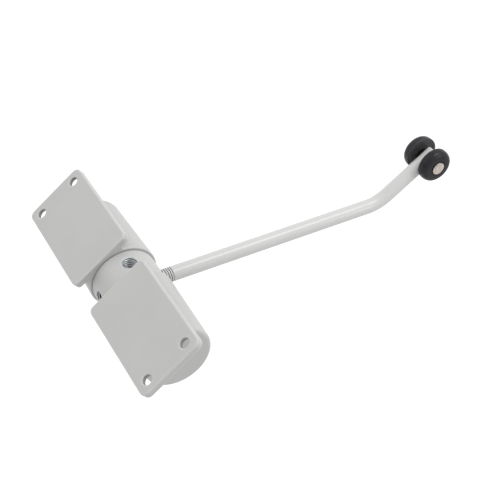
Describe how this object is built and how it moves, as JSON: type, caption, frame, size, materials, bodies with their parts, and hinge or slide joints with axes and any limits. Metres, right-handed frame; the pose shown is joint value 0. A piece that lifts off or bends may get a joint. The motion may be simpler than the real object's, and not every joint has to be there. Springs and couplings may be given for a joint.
{
  "type": "door closer",
  "caption": "Surface-mounted spring door closer: two cast housings with mounting plates, a turning collar between them, and a bent rod arm with twin rollers.",
  "frame": {"origin": "centre of the lower housing's mounting face", "axes": "+Y out of the mounting faces, towards the wall or door leaf; +Z along the body's axis, from the lower housing to the upper one; +X across the body, the side on which the arm reaches out"},
  "size_m": [0.2287, 0.1546, 0.1801],
  "materials": {
    "white_paint": "satin powder coat on a casting",
    "collar_paint": "satin powder coat on a turned ring",
    "arm_paint": "semi-gloss powder coat on a steel rod",
    "bare_steel": "bare turned steel",
    "spring_steel": "oiled spring wire",
    "bronze": "sintered bronze",
    "black_plastic": "moulded black nylon, satin",
    "natural_nylon": "moulded natural nylon"
  },
  "bodies": {
    "body": {"upper_housing": "white_paint", "upper_end_cap": "white_paint", "upper_thrust_ring": "black_plastic", "upper_spring": "spring_steel", "upper_spring_guide": "natural_nylon", "upper_bush": "bronze", "lower_housing": "white_paint", "lower_end_cap": "white_paint", "lower_thrust_ring": "black_plastic", "lower_spring": "spring_steel", "lower_spring_guide": "natural_nylon", "lower_bush": "bronze"},
    "collar_and_arm": {"collar": "collar_paint", "spindle": "bare_steel", "arm": "arm_paint", "roller_pin": "bare_steel", "upper_washer": "bare_steel", "upper_retaining_ring": "spring_steel", "upper_roller_washer": "bare_steel", "lower_washer": "bare_steel", "lower_retaining_ring": "spring_steel", "lower_roller_washer": "bare_steel"},
    "upper_roller": {"upper_roller": "black_plastic"},
    "lower_roller": {"lower_roller": "black_plastic"}
  },
  "joints": [
    {"name": "collar_turn", "type": "hinge", "parent": "body", "child": "collar_and_arm", "pos_m": [0, -0.0248, 0.05075], "axis": [0, 0, 1], "range_deg": [-140, 0], "stiffness_Nm_per_rad": 3.6, "deforming": ["upper_spring", "lower_spring"]},
    {"name": "upper_roller_spin", "type": "hinge", "parent": "collar_and_arm", "child": "upper_roller", "pos_m": [0.19338, -0.14266, 0.05075], "axis": [0, 0, 1], "continuous": true},
    {"name": "lower_roller_spin", "type": "hinge", "parent": "collar_and_arm", "child": "lower_roller", "pos_m": [0.19338, -0.14266, 0.05075], "axis": [0, 0, 1], "continuous": true}
  ]
}
